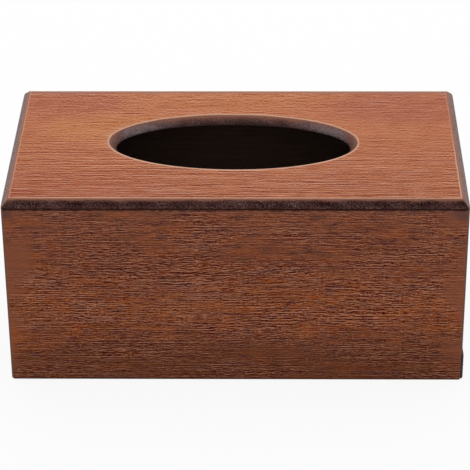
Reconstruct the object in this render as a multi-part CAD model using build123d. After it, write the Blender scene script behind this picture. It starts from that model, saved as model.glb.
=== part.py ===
from build123d import *
import os

# A tissue box of thin veneered board, with a bevelled oval opening in its top and a base that slides out
# at the right-hand end. Sizes are in millimetres. X runs along the front, Y from front to back, Z up from
# the table, and the origin is on the table under the middle of the closed box.

# Outside of the box
LENGTH = 240.0
DEPTH = 130.0
HEIGHT = 109.0

# Sheet stock
WALL_CORE = 5.5
TOP_CORE = 4.0
VENEER = 0.5
BASE_THICKNESS = 3.0

# Bevels and eased edges
TOP_BEVEL = 3.8
CORNER_RADIUS = 2.0
FOOT_RADIUS = 0.8
ARRIS_RADIUS = 1.5
JOINT_NICK = 0.4

# Oval opening, measured on the top face: hand cut, so a little off the middle and a little askew
OVAL_LENGTH = 133.7
OVAL_WIDTH = 63.1
OVAL_BEVEL = 4.2
OVAL_SHIFT_X = -1.8
OVAL_SHIFT_Y = 1.3
OVAL_TURN = -0.8

# Lip at the open end of the sliding base
LIP_HEIGHT = 15.0
LIP_PROUD = 0.8
LIP_GAP = 0.4
FLOOR_GAP = 0.5
HOUSING_DEPTH = 3.0

# Grooved runners that carry the base, and the room it has in them
RUNNER_WIDTH = 8.0
RUNNER_HEIGHT = 12.0
LEDGE = 3.0
GROOVE_DEPTH = 5.0
SIDE_CLEARANCE = 0.4
TOP_CLEARANCE = 0.4
END_CLEARANCE = 0.3

# Glue blocks in the mitred corners
BLOCK_LEG = 9.0

# Brads that hold the lip to the base board
BRAD_COUNT = 4
BRAD_MARGIN = 10.0
BRAD_DIAMETER = 1.2
BRAD_HEAD_DIAMETER = 1.9
BRAD_HEAD_HEIGHT = 0.5
BRAD_TIP = 1.6
BRAD_LENGTH = 10.0

# Heights and faces that follow from the sizes above
WALL = WALL_CORE + VENEER
WALL_TOP = HEIGHT - TOP_CORE - VENEER
LIP_TOP = FLOOR_GAP + LIP_HEIGHT
SHORT_WALL_FOOT = LIP_TOP + LIP_GAP
BASE_BOTTOM = FLOOR_GAP + LEDGE
INSIDE_X = LENGTH / 2 - WALL
INSIDE_Y = DEPTH / 2 - WALL
LIP_INSIDE_X = INSIDE_X + LIP_PROUD
BASE_WIDTH = 2 * (INSIDE_Y - (RUNNER_WIDTH - GROOVE_DEPTH) - SIDE_CLEARANCE)

# Where each wall stands: its own Y starts at its outside face and runs inwards
FRONT = Pos(0, -DEPTH / 2, 0)
BACK = Pos(0, DEPTH / 2, 0) * Rot(0, 0, 180)
LEFT_END = Pos(-LENGTH / 2, 0, 0) * Rot(0, 0, -90)
RIGHT_END = Pos(LENGTH / 2, 0, 0) * Rot(0, 0, 90)
LIP_PLACE = Pos(LIP_PROUD, 0, 0) * RIGHT_END


def eased_block(height):
    """Block of the box's outline with eased upright corners and an eased foot."""
    block = extrude(RectangleRounded(LENGTH, DEPTH, CORNER_RADIUS), height)
    return fillet(block.edges().group_by(Axis.Z)[0], FOOT_RADIUS)


def box_outline():
    """Outside of the whole box: the eased block, bevelled all round the top, with a softened arris."""
    cap = extrude(Rectangle(LENGTH, DEPTH), HEIGHT)
    cap = chamfer(cap.edges().group_by(Axis.Z)[-1], TOP_BEVEL)
    cap = fillet(cap.edges().group_by(Axis.Z)[-1], ARRIS_RADIUS)
    return eased_block(HEIGHT) & cap


def lip_outline():
    """Outside of the lip: the box's outline moved out to the right, clear of the table, eased top and foot."""
    block = eased_block(LIP_HEIGHT)
    block = fillet(block.edges().group_by(Axis.Z)[-1], FOOT_RADIUS)
    return Pos(LIP_PROUD, 0, FLOOR_GAP) * block


def between(low, high):
    """Slab between two heights, wider than the box."""
    return Pos(0, 0, low) * extrude(Rectangle(2 * LENGTH, 2 * DEPTH), high - low)


def mitred_strip(place, run, outer, inner, low, high):
    """Upright strip of a wall, mitred at both ends: run is the wall's outside length, and outer and inner
    are the strip's faces, measured inwards from the outside of the wall."""
    half = run / 2
    plan = Polygon(
        (outer - half, outer),
        (half - outer, outer),
        (half - inner, inner),
        (inner - half, inner),
        align=None,
    )
    return place * Pos(0, 0, low) * extrude(plan, high - low)


def oval(shrink):
    """Outline of the opening, drawn in by the given amount all round."""
    place = Pos(OVAL_SHIFT_X, OVAL_SHIFT_Y) * Rot(0, 0, OVAL_TURN)
    return place * Ellipse(OVAL_LENGTH / 2 - shrink, OVAL_WIDTH / 2 - shrink)


def opening_cutter():
    """Straight oval hole with a bevelled mouth that meets the top face at the stated size."""
    overrun = OVAL_BEVEL
    mouth = loft(
        [
            Pos(0, 0, HEIGHT - OVAL_BEVEL) * oval(OVAL_BEVEL),
            Pos(0, 0, HEIGHT + overrun) * oval(-overrun),
        ],
        ruled=True,
    )
    hole = Pos(0, 0, WALL_TOP - overrun) * extrude(oval(OVAL_BEVEL), HEIGHT - WALL_TOP)
    return mouth + hole


def make_top(outline):
    """Top panel as one piece: nicked where it meets the walls, with the oval cut and its rim softened."""
    panel = outline & between(WALL_TOP, HEIGHT)
    panel = chamfer(panel.edges().group_by(Axis.Z)[0], JOINT_NICK)
    panel -= opening_cutter()
    on_top = panel.faces().sort_by(Axis.Z)[-1]
    return fillet(on_top.inner_wires()[0].edges(), ARRIS_RADIUS)


def make_wall(outline, place, run, low, high):
    """Core and face veneer of one wall or of the lip, cut from its outline."""
    core = mitred_strip(place, run, VENEER, WALL, low, high) & outline
    skin = mitred_strip(place, run, 0, VENEER, low, high) & outline
    return core, skin


def make_runner(place):
    """Grooved strip along the inside of a long wall."""
    slot_top = LEDGE + BASE_THICKNESS + TOP_CLEARANCE
    groove_face = RUNNER_WIDTH - GROOVE_DEPTH
    section = Polygon(
        (0, 0),
        (RUNNER_WIDTH, 0),
        (RUNNER_WIDTH, LEDGE),
        (groove_face, LEDGE),
        (groove_face, slot_top),
        (RUNNER_WIDTH, slot_top),
        (RUNNER_WIDTH, RUNNER_HEIGHT),
        (0, RUNNER_HEIGHT),
        align=None,
    )
    strip = extrude(Plane.YZ * section, INSIDE_X, both=True)
    return place * Pos(0, WALL, FLOOR_GAP) * strip


def make_corner_block(side_x, side_y):
    """Three-cornered glue block in one inside corner, up against the top."""
    corner_x = side_x * INSIDE_X
    corner_y = side_y * INSIDE_Y
    plan = Polygon(
        (corner_x, corner_y),
        (corner_x - side_x * BLOCK_LEG, corner_y),
        (corner_x, corner_y - side_y * BLOCK_LEG),
        align=None,
    )
    return Pos(0, 0, SHORT_WALL_FOOT) * extrude(plan, WALL_TOP - SHORT_WALL_FOOT, dir=(0, 0, 1))


def make_base_board():
    """Thin base: its long edges lie in the runners' grooves and its right-hand end in the lip's housing."""
    left = END_CLEARANCE - INSIDE_X
    right = LIP_INSIDE_X + HOUSING_DEPTH
    board = extrude(Rectangle(right - left, BASE_WIDTH), BASE_THICKNESS)
    return Pos((left + right) / 2, 0, BASE_BOTTOM) * board


def make_brads():
    """Row of headed brads, driven up through the lip and the end of the base board."""
    shank = BRAD_DIAMETER / 2
    head = BRAD_HEAD_DIAMETER / 2
    profile = Polygon(
        (0, 0),
        (head, 0),
        (head, BRAD_HEAD_HEIGHT),
        (shank, BRAD_HEAD_HEIGHT),
        (shank, BRAD_LENGTH - BRAD_TIP),
        (0, BRAD_LENGTH),
        align=None,
    )
    brad = revolve(Plane.XZ * profile, Axis.Z)
    spacing = (BASE_WIDTH - 2 * BRAD_MARGIN) / (BRAD_COUNT - 1)
    row = GridLocations(0, spacing, 1, BRAD_COUNT)
    foot = Pos(LIP_INSIDE_X + HOUSING_DEPTH / 2, 0, FLOOR_GAP)
    return [foot * place * brad for place in row]


outline = box_outline()
top = make_top(outline)
nodes = {
    "top_board": top & between(WALL_TOP, HEIGHT - VENEER),
    "top_veneer": top & between(HEIGHT - VENEER, HEIGHT),
}

walls = {
    "front": (outline, FRONT, LENGTH, 0, WALL_TOP),
    "back": (outline, BACK, LENGTH, 0, WALL_TOP),
    "left_end": (outline, LEFT_END, DEPTH, 0, WALL_TOP),
    "right_end": (outline, RIGHT_END, DEPTH, SHORT_WALL_FOOT, WALL_TOP),
}
for name, sizes in walls.items():
    nodes[f"{name}_board"], nodes[f"{name}_veneer"] = make_wall(*sizes)

for side_x, end in ((-1, "left"), (1, "right")):
    for side_y, side in ((-1, "front"), (1, "back")):
        nodes[f"corner_block_{side}_{end}"] = make_corner_block(side_x, side_y)

nodes["front_runner"] = make_runner(FRONT)
nodes["back_runner"] = make_runner(BACK)

base_board = make_base_board()
lip_core, lip_skin = make_wall(lip_outline(), LIP_PLACE, DEPTH, FLOOR_GAP, LIP_TOP)
brads = make_brads()
nodes["base_board"] = base_board - brads
nodes["base_lip"] = lip_core - base_board - brads
nodes["base_lip_veneer"] = lip_skin
nodes["lip_brads"] = Compound(children=brads)

os.makedirs("parts", exist_ok=True)
for name, solid in nodes.items():
    export_step(solid, f"parts/{name}.step")
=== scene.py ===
import math
from collections import namedtuple

import bpy
from bpy.props import FloatProperty, FloatVectorProperty, PointerProperty
from bpy.types import Operator, Panel, PropertyGroup
from mathutils import Euler, Matrix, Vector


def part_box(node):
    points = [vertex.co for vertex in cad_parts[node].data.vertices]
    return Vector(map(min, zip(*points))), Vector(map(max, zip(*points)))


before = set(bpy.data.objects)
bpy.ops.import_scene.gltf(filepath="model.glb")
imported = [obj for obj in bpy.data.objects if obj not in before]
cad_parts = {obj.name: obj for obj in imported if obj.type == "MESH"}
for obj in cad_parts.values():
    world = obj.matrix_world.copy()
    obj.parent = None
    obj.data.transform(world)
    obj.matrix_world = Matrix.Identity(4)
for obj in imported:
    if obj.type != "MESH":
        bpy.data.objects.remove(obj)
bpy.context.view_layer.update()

# Dresses a veneered tissue box: varnished veneer outside, dark-stained board at its bevels, plain wood
# inside, a hardboard base and steel brads, in a plain white studio. In the finishes, places and sizes are
# millimetres, and strengths are shares of 1.

bl_info = {
    "name": "Veneered tissue box",
    "version": (1, 0, 0),
    "blender": (4, 5, 0),
    "location": "3D View > Sidebar > Tissue box",
    "description": "Finishes of a veneered wooden tissue box with a sliding base, and a studio for it",
    "category": "Object",
}

MM_PER_M = 1000.0
WHITE = (1.0, 1.0, 1.0)

# Where each axis stands in a vector
X_AXIS = 0
Y_AXIS = 1
Z_AXIS = 2

# Sizes read from the frame, in millimetres
BOX_HALF_LENGTH = MM_PER_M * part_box("top_board")[1].x
BOX_HALF_DEPTH = MM_PER_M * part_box("top_board")[1].y
BOX_TOP = MM_PER_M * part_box("top_veneer")[1].z
WALL_TOP = MM_PER_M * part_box("front_board")[1].z

# Bevel and oval opening of the top, as in the CAD, in millimetres
TOP_BEVEL = 3.8
OVAL_MIDDLE = (-1.8, 1.3)
OVAL_HALF_LENGTH = 66.85
OVAL_HALF_WIDTH = 31.55
OVAL_TURN = math.radians(-0.8)

# How rough and glossy each finish is, and how deep its relief is, in millimetres
Gloss = namedtuple("Gloss", "roughness specular relief")
TOP_GLOSS = Gloss(roughness=0.45, specular=0.03, relief=0.01)
WALL_GLOSS = Gloss(roughness=0.45, specular=0.04, relief=0.01)
BOARD_GLOSS = Gloss(roughness=0.32, specular=0.08, relief=0.04)
SOFTWOOD_GLOSS = Gloss(roughness=0.7, specular=0.2, relief=0.02)
HARDBOARD_GLOSS = Gloss(roughness=0.55, specular=0.3, relief=0.015)
STEEL_GLOSS = Gloss(roughness=0.42, specular=0.5, relief=0.0)
FLOOR_GLOSS = Gloss(roughness=0.9, specular=0.0, relief=0.0)

# Brings a noise between 0 and 1 to about one unit of spread
FIGURE_GAIN = 7.5

# A fine mark is set off by this share of its neighbours, so many widths above and below it
NEIGHBOUR_SHARE = 0.3
NEIGHBOUR_STEP = 0.7

# A patch fades in between these two squared shares of its radii
PATCH_OUTER = 1.25
PATCH_INNER = 0.25

# How fast the top's grain grows finer towards the front, for each millimetre
GRAIN_TAPER = 0.0032

# How much rougher the grain is for each unit of its height
GRAIN_ROUGHENS = 0.03

# Inputs of a Mix node for its amount and its two ends, and its output, for numbers and for colours
NUMBER_INPUTS = (0, 2, 3)
NUMBER_OUTPUT = 0
COLOUR_INPUTS = (0, 6, 7)
COLOUR_OUTPUT = 2

# The studio, in metres
FLOOR_HALF = 4.0
SOFTBOX_SIZE = (1.6, 1.2)
SOFTBOX_PLACE = (0.0, 0.45, 1.3)

# Where reflections change from the camera's side to the white behind the object, along Y
BACKDROP_EDGE = (-0.1, 0.3)

# The picture that the camera is set for, and the camera that was worked out for it
IMAGE_WIDTH_PX = 470
FOCAL_LENGTH_PX = 2209.0
SENSOR_WIDTH_MM = 36.0
CAMERA_REACH = 20.0
CAMERA_PLACE = (0.017193, -1.044725, 0.661632)
CAMERA_PITCH = math.radians(30.2791)
CAMERA_YAW = math.radians(1.0076)
CAMERA_ROLL = math.radians(-0.4320)


class Wire:
    """One value in a node tree, with the usual arithmetic."""

    def __init__(self, graph, socket):
        self.graph = graph
        self.socket = socket

    def __add__(self, other):
        return self.graph.maths("ADD", self, other)

    def __sub__(self, other):
        return self.graph.maths("SUBTRACT", self, other)

    def __rsub__(self, other):
        return self.graph.maths("SUBTRACT", other, self)

    def __mul__(self, other):
        return self.graph.maths("MULTIPLY", self, other)

    def __truediv__(self, other):
        return self.graph.maths("DIVIDE", self, other)

    def __abs__(self):
        return self.graph.maths("ABSOLUTE", self)

    __radd__ = __add__
    __rmul__ = __mul__


class Graph:
    """A node tree, with short ways to add nodes to it and join them."""

    def __init__(self, tree):
        self.tree = tree

    def add(self, kind, **settings):
        """New node of a kind, with its settings."""
        node = self.tree.nodes.new(kind)
        for name, value in settings.items():
            setattr(node, name, value)
        return node

    def feed(self, socket, value):
        """Sets a socket to a plain value, or joins a wire to it."""
        if isinstance(value, Wire):
            self.tree.links.new(value.socket, socket)
        else:
            socket.default_value = value

    def output(self, node, name):
        """A node's output, by its name or number."""
        return Wire(self, node.outputs[name])

    def maths(self, operation, first, second=0.0):
        """What an operation makes of two numbers."""
        node = self.add("ShaderNodeMath", operation=operation)
        self.feed(node.inputs[0], first)
        self.feed(node.inputs[1], second)
        return self.output(node, 0)

    def lesser(self, first, second):
        return self.maths("MINIMUM", first, second)

    def greater(self, first, second):
        return self.maths("MAXIMUM", first, second)

    def split(self, vector):
        """The three numbers of a vector."""
        node = self.add("ShaderNodeSeparateXYZ")
        self.feed(node.inputs[0], vector)
        return [Wire(self, output) for output in node.outputs]

    def fade(self, value, start, end):
        """Smooth step from 0 at start to 1 at end."""
        node = self.add("ShaderNodeMapRange", interpolation_type="SMOOTHSTEP")
        self.feed(node.inputs["Value"], value)
        self.feed(node.inputs["From Min"], start)
        self.feed(node.inputs["From Max"], end)
        return self.output(node, "Result")

    def blend(self, amount, first, second):
        """Number between two numbers."""
        node = self.add("ShaderNodeMix")
        for index, value in zip(NUMBER_INPUTS, (amount, first, second)):
            self.feed(node.inputs[index], value)
        return self.output(node, NUMBER_OUTPUT)

    def mix(self, amount, first, second):
        """Colour between two colours."""
        node = self.add("ShaderNodeMix", data_type="RGBA")
        ends = [end if isinstance(end, Wire) else (*end, 1.0) for end in (first, second)]
        for index, value in zip(COLOUR_INPUTS, (amount, *ends)):
            self.feed(node.inputs[index], value)
        return self.output(node, COLOUR_OUTPUT)


class Finish(Graph):
    """One material, with the figures and shapes that its colours follow."""

    def __init__(self, name):
        self.material = bpy.data.materials.new(name)
        self.material.use_nodes = True
        super().__init__(self.material.node_tree)
        self.shader = next(node for node in self.tree.nodes if node.type == "BSDF_PRINCIPLED")

    def place(self):
        """Place on the piece along X, Y and Z, in millimetres."""
        scale = self.add("ShaderNodeVectorMath", operation="SCALE")
        scale.inputs["Scale"].default_value = MM_PER_M
        self.feed(scale.inputs[0], self.output(self.add("ShaderNodeTexCoord"), "Object"))
        return self.split(self.output(scale, 0))

    def facing(self):
        """Which way the surface faces along X, Y and Z."""
        return self.split(self.output(self.add("ShaderNodeTexCoord"), "Normal"))

    def figure(self, along, across, *, length, width, layer, detail=0.0):
        """Cloudy figure about 0, mostly from -2 to 2, with marks of that length and width.
        The layer tells like figures apart."""
        spot = self.add("ShaderNodeCombineXYZ")
        for socket, value in zip(spot.inputs, (along / length, across / width, layer)):
            self.feed(socket, value)
        noise = self.add("ShaderNodeTexNoise")
        noise.inputs["Scale"].default_value = 1.0
        noise.inputs["Detail"].default_value = detail
        self.feed(noise.inputs["Vector"], self.output(spot, 0))
        return (self.output(noise, "Fac") - 0.5) * FIGURE_GAIN

    def fine_figure(self, along, across, **sizes):
        """Figure of fine marks, each set off from its neighbours above and below."""
        step = sizes["width"] * NEIGHBOUR_STEP
        marks = self.figure(along, across, **sizes)
        above = self.figure(along, across + step, **sizes)
        below = self.figure(along, across - step, **sizes)
        return marks - (above + below) * NEIGHBOUR_SHARE

    def patch(self, x, y, middle, radii, ragged):
        """Oval patch, 1 in its middle and 0 outside, with a soft and ragged outline."""
        u = (x - middle[0]) / radii[0]
        v = (y - middle[1]) / radii[1]
        return self.fade(u * u + v * v + ragged, PATCH_OUTER, PATCH_INNER)

    def oval_distance(self, x, y):
        """How far outside the oval a place on the top is, in millimetres, for places near its rim."""
        east = x - OVAL_MIDDLE[0]
        north = y - OVAL_MIDDLE[1]
        u = (east * math.cos(OVAL_TURN) + north * math.sin(OVAL_TURN)) / OVAL_HALF_LENGTH
        v = (north * math.cos(OVAL_TURN) - east * math.sin(OVAL_TURN)) / OVAL_HALF_WIDTH
        size = u * u + v * v
        slope = u * u / OVAL_HALF_LENGTH**2 + v * v / OVAL_HALF_WIDTH**2
        return (size - 1.0) * 0.5 / self.maths("SQRT", slope)

    def clamped(self, value):
        """The value, kept between 0 and 1."""
        return self.lesser(self.greater(value, 0.0), 1.0)

    def done(self, colour, gloss, rougher=None, height=None):
        """Sends the colour, roughness and relief to the shader and returns the material."""
        roughness = gloss.roughness if rougher is None else rougher + gloss.roughness
        self.feed(self.shader.inputs["Base Color"], colour)
        self.feed(self.shader.inputs["Roughness"], roughness)
        self.shader.inputs["Specular IOR Level"].default_value = gloss.specular
        if height is not None:
            bump = self.add("ShaderNodeBump")
            bump.inputs["Distance"].default_value = gloss.relief / MM_PER_M
            self.feed(bump.inputs["Height"], height)
            self.feed(self.shader.inputs["Normal"], self.output(bump, "Normal"))
        return self.material


def dress(nodes, material):
    """Gives CAD nodes a material in place of their plain one."""
    for name in nodes:
        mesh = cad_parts[name].data
        mesh.materials.clear()
        mesh.materials.append(material)


def shade(colour, factor):
    """The colour, made lighter or darker."""
    return [factor * part for part in colour]


def colour_property(name, description, default):
    """Colour that a user can change."""
    return FloatVectorProperty(
        name=name, description=description, default=default, subtype="COLOR", min=0.0, max=1.0
    )


def length_property(name, description, default_mm):
    """Length that a user can change, in scene units."""
    return FloatProperty(
        name=name,
        description=description,
        default=default_mm / MM_PER_M,
        min=0.0,
        precision=5,
        subtype="DISTANCE",
        unit="LENGTH",
    )


class TissueBoxTopVeneer(PropertyGroup):
    """Colours and grain of the top's veneer."""

    orange: colour_property("Orange", "Main colour of the veneer", (0.493, 0.169, 0.079))
    # Painted shade: the top's veneer is darker towards the front, as if less light reached it there.
    front_shade: colour_property("Russet", "Darker veneer towards the front", (0.43, 0.137, 0.061))
    rose: colour_property("Rose", "Cooler veneer in the back corners", (0.435, 0.140, 0.077))
    pale: colour_property("Pale", "Lighter veneer left of and behind the opening", (0.545, 0.208, 0.082))
    red: colour_property("Red", "Redder veneer in the front left corner", (0.41, 0.118, 0.056))
    dark: colour_property("Dark grain", "Dark lines of the grain", (0.14, 0.0, 0.0))
    light: colour_property("Light grain", "Light lines of the grain", (0.80, 0.45, 0.32))
    # Partly worn varnish and partly painted highlight on the rounded arrises.
    wear_and_highlight: colour_property("Worn edge", "Varnish rubbed thin on the arrises", (0.66, 0.365, 0.25))
    rubbed: colour_property("Rubbed edge", "Stain rubbed thin on the cut edge", (0.335, 0.143, 0.094))
    # Greyer colour along the back edge of the top.
    back_edge_grey: colour_property("Dull edge", "Dull varnish along the back edge", (0.36, 0.182, 0.134))
    line_length: length_property("Line length", "Length of the grain's lines", 45.0)
    line_width: length_property("Line width", "Width of the lines, halfway from front to back", 1.27)


class TissueBoxWallVeneer(PropertyGroup):
    """Colours and grain of the walls' veneer."""

    brown: colour_property("Brown", "Main colour of the veneer", (0.304, 0.0925, 0.050))
    orange: colour_property("Orange", "Warm patches in the veneer", (0.515, 0.133, 0.028))
    red: colour_property("Red", "Red streaks in the veneer", (0.43, 0.080, 0.024))
    olive: colour_property("Olive", "Greenish streaks in the veneer", (0.21, 0.088, 0.030))
    bare: colour_property("Bare", "Plain veneer near the ends of the walls", (0.385, 0.130, 0.072))
    # Painted shade: duller, darker veneer towards the foot, where less light falls.
    foot_shade: colour_property("Umber", "Duller veneer near the foot", (0.165, 0.054, 0.024))
    # Also the colour of the painted contact shadow along the foot.
    smoke: colour_property("Smoke", "Dark bluish patches in the veneer", (0.14, 0.048, 0.042))
    soot: colour_property("Soot", "Greyish patches in the top corners", (0.17, 0.08, 0.07))
    dark: colour_property("Dark grain", "Dark dashes of the grain", (0.075, 0.0, 0.0))
    light: colour_property("Light grain", "Light dashes of the grain", (0.70, 0.318, 0.205))
    # Dark joint line at the top of the wall; on the rounded foot it is painted contact shadow, and on the
    # lip's corners painted shadow of the gap beside the wall.
    edge: colour_property("Edge stain", "Stain at the joint, foot and lip", (0.033, 0.010, 0.008))
    # Painted highlight on the rounded upright corners and in a line below the joint, partly rubbed
    # varnish.
    eased_edge_lighting: colour_property("Eased corner", "Varnish rubbed on the upright corners", (0.25, 0.125, 0.095))
    dash_length: length_property("Dash length", "Length of the grain's dashes", 3.6)
    dash_width: length_property("Dash width", "Width of the grain's dashes", 0.7)


class TissueBoxBoards(PropertyGroup):
    """Colours of the boards, the inside wood, the base and the brads."""

    stain: colour_property("Stain", "Dark stain on the board's bevels", (0.022, 0.003, 0.002))
    speck: colour_property("Speck", "Pale fibres in the stained bevels", (0.175, 0.086, 0.074))
    # Painted sheen: greyish reflection on the stained bevels, strongest on the oval's shoulders and the
    # end bevels.
    painted_sheen: colour_property("Bloom", "Greyish bloom on the stained bevels", (0.235, 0.172, 0.174))
    rubbed: colour_property("Rubbed", "Stain rubbed thin below the arris", (0.325, 0.132, 0.09))
    # Partly worn stain and partly painted highlight on the bevel's mitres, where the arris would catch
    # light.
    wear_and_highlight: colour_property("Worn mitre", "Stain worn off at the bevel's corners", (0.42, 0.24, 0.16))
    plain: colour_property("Board", "Thin stain on the flat faces of the boards", (0.12, 0.075, 0.057))
    inside: colour_property("Inside", "Stained softwood inside", (0.05, 0.026, 0.016))
    sheet: colour_property("Hardboard", "Hardboard of the base", (0.075, 0.036, 0.02))
    steel: colour_property("Brads", "Dull steel of the brads", (0.5, 0.48, 0.45))


class TissueBoxStudio(PropertyGroup):
    """Floor and light of the studio."""

    floor: colour_property("Floor", "Colour that the floor throws back on the box", (0.55, 0.55, 0.55))
    ambient: FloatProperty(name="Ambient", description="Light from all round", default=0.5, min=0.0)
    mirrored_front: FloatProperty(
        name="Mirrored front",
        description="What a glossy surface mirrors on the camera's side",
        default=0.12,
        min=0.0,
    )
    lamp_watts: FloatProperty(
        name="Softbox",
        description="Power of the softbox above",
        default=10.5,
        min=0.0,
        subtype="POWER",
        unit="POWER",
    )
    shadow: FloatProperty(
        name="Shadow",
        description="Share of the object's shadow that shows on the floor",
        default=0.1,
        subtype="FACTOR",
    )


class TopVeneer(Finish):
    """Reddish veneer with long fine lines of grain, warm and cool patches, painted shade towards the
    front, and pale arrises that are partly wear and partly painted highlight.
    """

    def __init__(self, look):
        super().__init__("varnished_top_veneer")
        self.look = look
        self.x, self.y = self.place()[:2]
        sway = self.figure(self.x, self.y, length=80.0, width=30.0, layer=1.0)
        self.across = (self.y + sway * 0.4) * (1.0 - self.y * GRAIN_TAPER)
        self.bands = self.figure(self.x, self.across, length=110.0, width=7.0, layer=4.0)

    def colours(self):
        """Darker at the front as painted shade and orange behind, with paler, rosier and redder patches.
        """
        look = self.look
        clouds = self.figure(self.x, self.across, length=60.0, width=22.0, layer=5.0, detail=1.0)
        drift = clouds * 6.0 + self.bands * 6.0
        # Painted shade: from the darker front colour at the front to orange behind.
        colour = self.mix(self.fade(self.y + drift, -60.0, 15.0), look.front_shade, look.orange)
        # Tone, share, middle and radii of each patch
        patches = (
            (look.pale, 0.8, (-62.0, 16.0), (44.0, 21.0)),
            (look.pale, 0.35, (-12.0, 54.0), (64.0, 34.0)),
            (look.rose, 0.9, (-98.0, 50.0), (44.0, 24.0)),
            (look.rose, 1.0, (92.0, 42.0), (46.0, 24.0)),
            (look.red, 0.7, (-85.0, -52.0), (50.0, 20.0)),
        )
        for tone, share, middle, radii in patches:
            patch = self.patch(self.x, self.y, middle, radii, drift * 0.02)
            colour = self.mix(patch * share, colour, tone)
        return colour

    def grain(self):
        """Height of the grain: strong at the front, calmer behind on the right and at the left end."""
        x = self.x
        length = self.look.line_length * MM_PER_M
        width = self.look.line_width * MM_PER_M
        ticks = self.fine_figure(x, self.across, length=1.5, width=width, layer=2.0)
        strokes = self.fine_figure(x, self.across, length=9.0, width=width, layer=7.0)
        lines = self.fine_figure(x, self.across, length=length, width=width, layer=3.0)
        mottle = self.figure(x, self.across, length=9.0, width=9.0, layer=8.0, detail=1.0)
        front = self.fade(self.y, BOX_HALF_DEPTH * 0.4, -BOX_HALF_DEPTH * 0.8)
        grain = ticks * (0.125 + front * 0.03)
        grain = grain + strokes * (0.115 + front * 0.075)
        grain = grain + lines * (0.07 + front * 0.19)
        grain = grain + self.bands * 0.02 + mottle * 0.035
        calm_right = self.fade(x, -BOX_HALF_LENGTH * 0.7, BOX_HALF_LENGTH * 0.7) * (1.0 - front)
        calm_left = self.fade(x, -BOX_HALF_LENGTH * 0.3, -BOX_HALF_LENGTH * 0.8)
        return grain * (1.08 + front * 0.08 - calm_right * 0.28 - calm_left * 0.14)

    def wear(self, colour):
        """Pale arrises, partly wear and partly painted highlight; thin stain on the cut edge; and a
        greyer tone along the back edge.
        """
        look, x, y = self.look, self.x, self.y
        rub = self.figure(x, y, length=9.0, width=9.0, layer=6.0)
        rim = self.oval_distance(x, y)
        near_rim = self.fade(y, 0.0, -20.0) * self.fade(rim, 6.0, 3.0)
        # Pale oval rim and its left tip: partly wear, partly painted highlight on the rounded arris.
        left_tip = self.fade(rim, 5.0, 0.5) * self.fade(x, -OVAL_HALF_LENGTH * 0.85, -OVAL_HALF_LENGTH)
        colour = self.mix(left_tip * 0.2, colour, look.wear_and_highlight)
        colour = self.mix(self.fade(rim + rub * 0.1 - near_rim * 0.8, 0.85, 0.4), colour, look.wear_and_highlight)
        # Greyer along the back edge of the top.
        from_back = BOX_HALF_DEPTH - TOP_BEVEL - y
        colour = self.mix(self.fade(from_back + rub * 0.3, 4.8, 1.2), colour, look.back_edge_grey)
        at_left = self.fade(BOX_HALF_LENGTH + x, 8.0, 5.0)
        at_right = self.fade(BOX_HALF_LENGTH - x, 8.0, 5.0)
        kept = at_left * 0.5 + at_right * self.fade(y, -35.0, 20.0) * 0.65
        from_edge = self.lesser(BOX_HALF_LENGTH - abs(x), BOX_HALF_DEPTH - abs(y)) - TOP_BEVEL
        # Pale outer arrises: partly wear, partly painted highlight on the rounded arris.
        arris = self.fade(from_edge + rub * 0.08, 1.05, 0.6)
        colour = self.mix(arris * (1.0 - kept), colour, look.wear_and_highlight)
        upward = self.facing()[Z_AXIS]
        outside = self.fade(rim, 3.0, 6.0)
        cut_edge = self.fade(upward + rub * 0.01 - outside * 0.065, 0.93, 0.82)
        return self.mix(cut_edge * (1.0 - near_rim), colour, look.rubbed)


def make_top_veneer(look):
    """Material of the top's veneer."""
    veneer = TopVeneer(look)
    grain = veneer.grain()
    colour = veneer.mix(grain * -1.3, veneer.colours(), look.dark)
    colour = veneer.mix(grain * 0.75, colour, look.light)
    return veneer.done(veneer.wear(colour), TOP_GLOSS, grain * GRAIN_ROUGHENS, grain)


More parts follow.
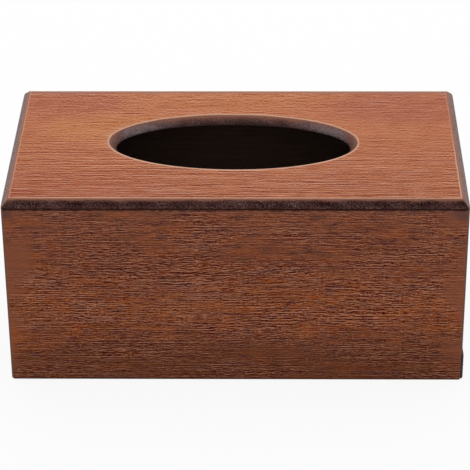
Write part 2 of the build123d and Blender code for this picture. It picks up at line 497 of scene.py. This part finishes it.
class WallVeneer(Finish):
    """Darker veneer with short wavy dashes of grain, smooth near its ends, sooty in its top corners."""

    def __init__(self, name, look, along_axis, half_run):
        super().__init__(name)
        self.look = look
        self.half_run = half_run
        place = self.place()
        self.along = place[along_axis]
        self.up = place[Z_AXIS]
        self.inset = half_run - abs(self.along)
        drift = self.figure(self.along, self.up, length=10.0, width=5.0, layer=11.0)
        self.sway = self.figure(self.along, self.up, length=70.0, width=25.0, layer=12.0)
        self.across = self.up + drift * 0.14 + self.sway * 0.6
        self.streaks = self.figure(self.along, self.across, length=8.0, width=1.9, layer=19.0, detail=1.0)
        self.clouds = self.figure(self.along, self.across, length=24.0, width=6.0, layer=15.0, detail=2.0)
        self.margin = self.figure(self.along, self.up, length=20.0, width=20.0, layer=18.0)
        near_end = self.fade(self.inset + self.margin * 5.0, 16.0, -2.0)
        self.bare = near_end * self.fade(self.up + self.margin * 4.0, -5.0, 20.0)
        self.foot = self.fade(self.up + self.clouds * 3.0, 38.0, 16.0)

    def band(self, share, half_width):
        """Level wavy band at a share of the wall's height, 1 along its middle."""
        return self.fade(abs(self.up + self.sway * 2.0 - WALL_TOP * share), half_width, 2.0)

    def colours(self):
        """Brown with warm, red, greenish and smoky streaks, plain near the ends, and darker towards the
        foot as painted shade.
        """
        look, along, across = self.look, self.along, self.across
        grained = 1.0 - self.bare
        glow = self.band(0.44, 18.0)
        warm = self.fade(self.clouds * 0.55 + self.streaks * 0.3 + glow * 0.8, -0.95, 1.75)
        colour = self.mix(warm, look.brown, look.orange)
        tint = self.figure(along, across, length=9.0, width=5.0, layer=20.0, detail=2.0)
        colour = self.mix(self.fade(tint, 0.0, 2.4) * 0.62, colour, look.red)
        colour = self.mix(self.fade(tint, 0.0, -2.0) * 0.52, colour, look.olive)
        high = self.fade(self.up + self.clouds * 3.0, WALL_TOP * 0.68, WALL_TOP * 0.92)
        colour = self.mix(self.greater(self.bare * 0.7, high * 0.3), colour, look.bare)
        colour = self.mix(self.band(0.7, 11.0) * grained * 0.12, colour, look.smoke)
        # Painted shade towards the foot.
        colour = self.mix(self.foot * grained * 0.57, colour, look.foot_shade)
        corner = (8.0 - self.half_run, 25.0)
        patch = self.patch(along, self.up, corner, (20.0, 9.0), self.margin * 0.2)
        colour = self.mix(patch * 0.55, colour, look.orange)
        smoke = self.figure(along, across, length=11.0, width=3.5, layer=16.0, detail=2.0)
        return self.mix(self.fade(smoke + high * 0.3, 0.0, 2.0) * grained * 0.85, colour, look.smoke)

    def grain(self):
        """Height of the grain: strongest halfway up, weak near the ends."""
        along, across = self.along, self.across
        length = self.look.dash_length * MM_PER_M
        width = self.look.dash_width * MM_PER_M
        dashes = self.fine_figure(along, across, length=length, width=width, layer=13.0)
        ticks = self.figure(along, across, length=1.2, width=width, layer=23.0)
        lines = self.fine_figure(along, self.up + self.sway * 0.3, length=45.0, width=width, layer=14.0)
        vigour = self.figure(along, across, length=30.0, width=12.0, layer=17.0)
        halfway = self.fade(abs(self.up - WALL_TOP * 0.48), 42.0, 4.0)
        strength = (1.0 - self.bare * 0.8) * (0.59 + halfway * 0.36 + vigour * 0.16)
        return (dashes * 0.38 + ticks * 0.21 + lines * 0.31 + self.streaks * 0.12) * strength

    def wear(self, colour, ragged):
        """Soot in the top corners, a pale line of painted highlight and a dark joint line below the
        joint, and a painted contact shadow along the foot.
        """
        look, up, inset = self.look, self.up, self.inset
        below = WALL_TOP - up
        corner = self.maths("SQRT", inset * inset * 0.4 + below * below)
        soot = self.figure(self.along, up, length=10.0, width=6.0, layer=21.0)
        colour = self.mix(self.fade(corner + soot * 0.4, 7.5, 4.0) * 0.7, colour, look.soot)
        # Painted highlight: a pale line where the wall's eased top edge would catch light.
        colour = self.mix(self.fade(abs(below - ragged * 0.3 - 1.6), 1.0, 0.2) * 0.4, colour, look.eased_edge_lighting)
        colour = self.mix(self.fade(below - ragged * 0.25, 1.3, 0.4) * 0.78, colour, look.edge)
        # Painted contact shadow: a dark line along the foot.
        return self.mix(self.fade(up + ragged * 0.15, 1.8, 0.8) * 0.8, colour, look.smoke)


def make_wall_veneer(name, look, along_axis, half_run, outward_axis, corner_tone):
    """Material of a wall's veneer, with a colour for its upright corners: painted highlight on the walls,
    painted shadow of the gap on the lip.
    """
    veneer = WallVeneer(name, look, along_axis, half_run)
    grain = veneer.grain()
    colour = veneer.mix(grain * -1.25, veneer.colours(), look.dark)
    # Fewer light dashes near the foot, part of the painted shade there.
    colour = veneer.mix(grain * (1.0 - veneer.foot * 0.15), colour, look.light)
    ragged = veneer.figure(veneer.along, veneer.up, length=3.5, width=2.0, layer=22.0, detail=1.0)
    colour = veneer.wear(colour, ragged)
    facing = veneer.facing()
    # Rounded edges of the veneer: painted highlight on the upright corners, painted contact shadow on the
    # rounded foot.
    eased_edge_lighting = veneer.fade(abs(facing[outward_axis]) + ragged * 0.012, 0.97, 0.8)
    upright = veneer.fade(abs(facing[Z_AXIS]), 0.3, 0.1)
    colour = veneer.mix(eased_edge_lighting, colour, veneer.mix(upright, look.edge, corner_tone))
    return veneer.done(colour, WALL_GLOSS, grain * GRAIN_ROUGHENS + eased_edge_lighting * 0.35, grain)


class StainedBoard(Finish):
    """Dark-stained board, speckled with pale fibres, rubbed thin just below the arrises of the top."""

    def __init__(self, look):
        super().__init__("stained_board_edge")
        self.look = look
        self.x, self.y, self.z = self.place()
        self.run = self.x + self.y
        self.inset_x = BOX_HALF_LENGTH - abs(self.x)
        self.inset_y = BOX_HALF_DEPTH - abs(self.y)
        self.turned = [abs(side) for side in self.facing()]
        self.oval = self.fade(self.oval_distance(self.x, self.y), 3.0, 0.0)
        self.specks = self.speckle(length=0.75, width=0.5, layer=31.0)
        self.flecks = self.speckle(length=1.8, width=1.0, layer=35.0)
        self.haze = self.figure(self.run, self.z, length=6.0, width=3.0, layer=34.0, detail=1.0)
        self.rub = self.figure(self.x, self.y, length=8.0, width=8.0, layer=33.0)

    def speckle(self, *, length, width, layer):
        """Specks that differ in all three directions."""
        depth = self.y / length + layer
        return self.figure(self.x, self.z, length=length, width=width, layer=depth, detail=1.0)

    def colours(self):
        """Dark stain with pale fibres and a greyish painted sheen."""
        look = self.look
        clouds = self.figure(self.run, self.z, length=9.0, width=5.0, layer=32.0)
        colour = self.mix(self.specks * 0.32 + clouds * 0.12 + 0.21, look.stain, look.speck)
        # Painted sheen: greyish highlights scattered over the stain.
        return self.mix(self.fade(self.haze + self.specks * 0.7, 1.2, 3.0) * 0.5, colour, look.painted_sheen)

    def oval_wear(self, colour):
        """Painted reflection of the side lights on the oval's shoulders, thin stain at its tips and below
        the arrises, darker below.
        """
        look, oval = self.look, self.oval
        reach = abs(self.x - OVAL_MIDDLE[0])
        tip = oval * self.fade(reach, OVAL_HALF_LENGTH * 0.86, OVAL_HALF_LENGTH * 0.95)
        shoulder = oval * self.fade(reach, OVAL_HALF_LENGTH * 0.38, OVAL_HALF_LENGTH * 0.8) - tip
        # Painted reflection of the side lights on the oval's bevel, strongest on its shoulders.
        colour = self.mix(oval * 0.1, colour, look.painted_sheen)
        colour = self.mix(shoulder * (0.85 + self.specks * 0.2 + self.flecks * 0.2), colour, look.painted_sheen)
        colour = self.mix(tip * 0.28, colour, look.rubbed)
        depth = BOX_TOP - self.z + self.rub * 0.15
        thin = self.clamped((2.15 + oval * 2.05 - depth) / (1.6 + oval * 1.7))
        thinned = thin * thin * thin * (1.0 - shoulder * 0.6 - tip * 0.3)
        colour = self.mix(thinned, colour, look.rubbed)
        return self.mix(oval * self.fade(depth, 2.8, 4.4) * 0.6, colour, look.stain)

    def bevel_wear(self, colour):
        """Painted highlight at the foot of the outer bevel, painted sheen on its ends that is stronger on
        the right, pale mitres of wear and painted highlight, and dark specks over all.
        """
        look, x, z, oval = self.look, self.x, self.z, self.oval
        # Painted highlight: the lowest strip of the outer bevel is paler, where its arris would catch
        # light.
        low = self.fade(z + self.haze * 0.2, WALL_TOP + 2.0, WALL_TOP + 0.6) * (1.0 - oval)
        colour = self.mix(low * 0.2, colour, look.speck)
        at_end = self.fade(self.inset_x, 8.0, 6.0)
        on_right = self.fade(x, -1.0, 1.0)
        # Painted sheen on the end bevels: greyish low down, rubbed stain higher up, stronger on the right
        # as if lit from that side.
        end_bevel = self.fade(self.turned[X_AXIS], 0.45, 0.65) * at_end
        height = self.fade(z + self.haze * 0.25, WALL_TOP + 0.6, BOX_TOP - 1.8)
        rub_and_sheen = 0.58 + on_right * 0.1 + self.specks * 0.2 + self.flecks * 0.15
        colour = self.mix(end_bevel * rub_and_sheen, colour, self.mix(height, look.painted_sheen, look.rubbed))
        # Pale mitres: partly worn stain, partly painted highlight, stronger on the right as if lit from
        # that side.
        mitre = self.fade(abs(self.inset_x - self.inset_y) + self.rub * 0.15, 0.9, 0.1) * at_end
        mitre = mitre * self.fade(z, WALL_TOP, WALL_TOP + 0.8) * (0.35 + on_right * 0.25)
        colour = self.mix(mitre, colour, look.wear_and_highlight)
        dark_specks = self.fade(self.specks, 0.0, -2.5) * (1.0 - oval * 0.7)
        return self.mix(dark_specks * 0.6, colour, look.stain)

    def flat_faces(self, colour):
        """Thin streaky stain on the flat faces inside."""
        streaks = self.figure(self.run, self.z, length=35.0, width=1.3, layer=36.0, detail=1.0)
        darker, lighter = shade(self.look.plain, 0.85), shade(self.look.plain, 1.15)
        plain = self.mix(self.fade(streaks, -2.0, 2.0), darker, lighter)
        facing_x, facing_y, facing_z = self.turned
        square = self.greater(self.greater(facing_x, facing_y), facing_z)
        inside = self.fade(self.lesser(self.inset_x, self.inset_y), 0.1, 0.3)
        return self.mix(self.fade(square, 0.96, 0.995) * inside, colour, plain)


def make_stained_board(look):
    """Material of the boards."""
    board = StainedBoard(look)
    colour = board.oval_wear(board.colours())
    colour = board.flat_faces(board.bevel_wear(colour))
    return board.done(colour, BOARD_GLOSS, height=board.specks)


def make_inside_wood(look):
    """Plain softwood under a dark stain."""
    f = Finish("inside_softwood")
    x, y, z = f.place()
    lines = f.figure(x, y + z, length=40.0, width=1.5, layer=41.0)
    colour = f.mix(f.fade(lines, -1.5, 1.5), shade(look.inside, 0.6), shade(look.inside, 1.3))
    return f.done(colour, SOFTWOOD_GLOSS, height=lines)


def make_base_sheet(look):
    """Hardboard: pressed fibres, smooth above and below."""
    f = Finish("base_hardboard")
    x, y = f.place()[:2]
    fibres = f.figure(x, y, length=0.8, width=0.8, layer=51.0, detail=2.0)
    clouds = f.figure(x, y, length=25.0, width=25.0, layer=52.0)
    tone = f.fade(fibres * 0.7 + clouds * 0.25, -1.5, 1.5)
    colour = f.mix(tone, shade(look.sheet, 0.65), shade(look.sheet, 1.35))
    return f.done(colour, HARDBOARD_GLOSS, height=fibres)


def make_brad_steel(look):
    """Dull drawn wire."""
    f = Finish("brad_steel_wire")
    x, y, z = f.place()
    scuffs = f.figure(x + y, z, length=0.5, width=0.3, layer=61.0)
    f.shader.inputs["Metallic"].default_value = 1.0
    colour = f.mix(f.fade(scuffs, -1.5, 1.5), shade(look.steel, 0.8), look.steel)
    return f.done(colour, STEEL_GLOSS, scuffs * 0.04)


class TISSUE_BOX_OT_top_veneer(Operator):
    """Dress the top's veneer"""

    bl_idname = "tissue_box.top_veneer"
    bl_label = "Top veneer"

    def execute(self, context):
        dress(["top_veneer"], make_top_veneer(context.scene.tissue_box_top))
        return {"FINISHED"}


class TISSUE_BOX_OT_wall_veneers(Operator):
    """Dress the veneers of the four walls and of the base's lip"""

    bl_idname = "tissue_box.wall_veneers"
    bl_label = "Wall veneers"

    def execute(self, context):
        look = context.scene.tissue_box_walls
        long_run = (X_AXIS, BOX_HALF_LENGTH, Y_AXIS)
        end_run = (Y_AXIS, BOX_HALF_DEPTH, X_AXIS)
        long_wall = make_wall_veneer("varnished_long_wall_veneer", look, *long_run, look.eased_edge_lighting)
        end_wall = make_wall_veneer("varnished_end_wall_veneer", look, *end_run, look.eased_edge_lighting)
        # The lip's corners take the dark edge colour: painted shadow of the gap beside the walls.
        lip = make_wall_veneer("varnished_lip_veneer", look, *end_run, look.edge)
        dress(["front_veneer", "back_veneer"], long_wall)
        dress(["left_end_veneer", "right_end_veneer"], end_wall)
        dress(["base_lip_veneer"], lip)
        return {"FINISHED"}


class TISSUE_BOX_OT_boards(Operator):
    """Dress the stained boards of the top, the walls and the lip"""

    bl_idname = "tissue_box.boards"
    bl_label = "Stained boards"

    def execute(self, context):
        names = ["top_board", "base_lip"]
        names += [f"{wall}_board" for wall in ("front", "back", "left_end", "right_end")]
        dress(names, make_stained_board(context.scene.tissue_box_boards))
        return {"FINISHED"}


class TISSUE_BOX_OT_inside(Operator):
    """Dress the corner blocks and runners"""

    bl_idname = "tissue_box.inside"
    bl_label = "Inside wood"

    def execute(self, context):
        names = ["front_runner", "back_runner"]
        names += [f"corner_block_{side}_{end}" for side in ("front", "back") for end in ("left", "right")]
        dress(names, make_inside_wood(context.scene.tissue_box_boards))
        return {"FINISHED"}


class TISSUE_BOX_OT_base(Operator):
    """Dress the base board and the brads that hold its lip"""

    bl_idname = "tissue_box.base"
    bl_label = "Base and brads"

    def execute(self, context):
        look = context.scene.tissue_box_boards
        dress(["base_board"], make_base_sheet(look))
        dress(["lip_brads"], make_brad_steel(look))
        return {"FINISHED"}


def make_floor(look):
    """Wide white floor that shows part of the object's shadow."""
    mesh = bpy.data.meshes.new("studio_floor")
    signs = ((-1, -1), (1, -1), (1, 1), (-1, 1))
    mesh.from_pydata([(FLOOR_HALF * x, FLOOR_HALF * y, 0.0) for x, y in signs], [], [(0, 1, 2, 3)])
    floor = bpy.data.objects.new("studio_floor", mesh)
    bpy.context.scene.collection.objects.link(floor)
    f = Finish("studio_floor")
    path = f.add("ShaderNodeLightPath")
    seen = f.output(path, "Is Camera Ray")
    f.done(f.mix(seen, look.floor, WHITE), FLOOR_GLOSS)
    mirrored = f.greater(f.output(path, "Is Glossy Ray"), f.output(path, "Is Transmission Ray"))
    white = f.add("ShaderNodeEmission")
    white.inputs["Strength"].default_value = 1.0
    blend = f.add("ShaderNodeMixShader")
    f.feed(blend.inputs[0], f.greater(seen, mirrored) * (1.0 - look.shadow))
    f.feed(blend.inputs[1], f.output(f.shader, 0))
    f.feed(blend.inputs[2], f.output(white, 0))
    f.feed(f.tree.nodes["Material Output"].inputs["Surface"], f.output(blend, 0))
    mesh.materials.append(f.material)


def make_world(look):
    """White surroundings for the eye and for reflections behind the object, soft even light elsewhere."""
    world = bpy.data.worlds.new("studio_world")
    world.use_nodes = True
    world.cycles.sampling_method = "NONE"
    g = Graph(world.node_tree)
    path = g.add("ShaderNodeLightPath")
    direction = g.split(g.output(g.add("ShaderNodeTexCoord"), "Generated"))
    reflection = g.blend(g.fade(direction[Y_AXIS], *BACKDROP_EDGE), look.mirrored_front, 1.0)
    mirrored = g.greater(g.output(path, "Is Glossy Ray"), g.output(path, "Is Transmission Ray"))
    strength = g.blend(mirrored, look.ambient, reflection)
    strength = g.blend(g.output(path, "Is Camera Ray"), strength, 1.0)
    background = g.tree.nodes["Background"]
    background.inputs["Color"].default_value = (*WHITE, 1.0)
    g.feed(background.inputs["Strength"], strength)
    bpy.context.scene.world = world


def make_softbox(look):
    """Large soft lamp above the box."""
    lamp = bpy.data.lights.new("softbox", "AREA")
    lamp.shape = "RECTANGLE"
    lamp.size, lamp.size_y = SOFTBOX_SIZE
    lamp.energy = look.lamp_watts
    softbox = bpy.data.objects.new("softbox", lamp)
    softbox.location = SOFTBOX_PLACE
    bpy.context.scene.collection.objects.link(softbox)


def make_camera():
    """Camera in front of the box, above it and looking down at it."""
    data = bpy.data.cameras.new("camera")
    data.sensor_width = SENSOR_WIDTH_MM
    data.lens = FOCAL_LENGTH_PX / IMAGE_WIDTH_PX * SENSOR_WIDTH_MM
    data.clip_end = CAMERA_REACH
    camera = bpy.data.objects.new("camera", data)
    turn = Euler((0.0, 0.0, CAMERA_YAW)).to_matrix()
    tilt = Euler((math.pi / 2 - CAMERA_PITCH, 0.0, 0.0)).to_matrix()
    roll = Euler((0.0, 0.0, CAMERA_ROLL)).to_matrix()
    camera.matrix_world = Matrix.LocRotScale(CAMERA_PLACE, turn @ tilt @ roll, None)
    bpy.context.scene.collection.objects.link(camera)
    bpy.context.scene.camera = camera


class TISSUE_BOX_OT_stage(Operator):
    """Set up the white floor, the light and the camera"""

    bl_idname = "tissue_box.stage"
    bl_label = "Studio"

    def execute(self, context):
        look = context.scene.tissue_box_studio
        context.scene.view_settings.view_transform = "Standard"
        make_floor(look)
        make_world(look)
        make_softbox(look)
        make_camera()
        return {"FINISHED"}


OPERATORS = (
    TISSUE_BOX_OT_top_veneer,
    TISSUE_BOX_OT_wall_veneers,
    TISSUE_BOX_OT_boards,
    TISSUE_BOX_OT_inside,
    TISSUE_BOX_OT_base,
    TISSUE_BOX_OT_stage,
)


class TISSUE_BOX_PT_panel(Panel):
    """Lists the steps that dress the box"""

    bl_label = "Tissue box"
    bl_space_type = "VIEW_3D"
    bl_region_type = "UI"
    bl_category = "Tissue box"

    def draw(self, context):
        for operator in OPERATORS:
            self.layout.operator(operator.bl_idname)


PROPERTIES = {
    "tissue_box_top": TissueBoxTopVeneer,
    "tissue_box_walls": TissueBoxWallVeneer,
    "tissue_box_boards": TissueBoxBoards,
    "tissue_box_studio": TissueBoxStudio,
}
CLASSES = (*PROPERTIES.values(), *OPERATORS, TISSUE_BOX_PT_panel)


def register():
    for cls in CLASSES:
        bpy.utils.register_class(cls)
    for name, group in PROPERTIES.items():
        setattr(bpy.types.Scene, name, PointerProperty(type=group))


def unregister():
    for name in PROPERTIES:
        delattr(bpy.types.Scene, name)
    for cls in reversed(CLASSES):
        bpy.utils.unregister_class(cls)


def main():
    register()
    bpy.ops.tissue_box.top_veneer()
    bpy.ops.tissue_box.wall_veneers()
    bpy.ops.tissue_box.boards()
    bpy.ops.tissue_box.inside()
    bpy.ops.tissue_box.base()
    bpy.ops.tissue_box.stage()


if __name__ == "__main__":
    main()
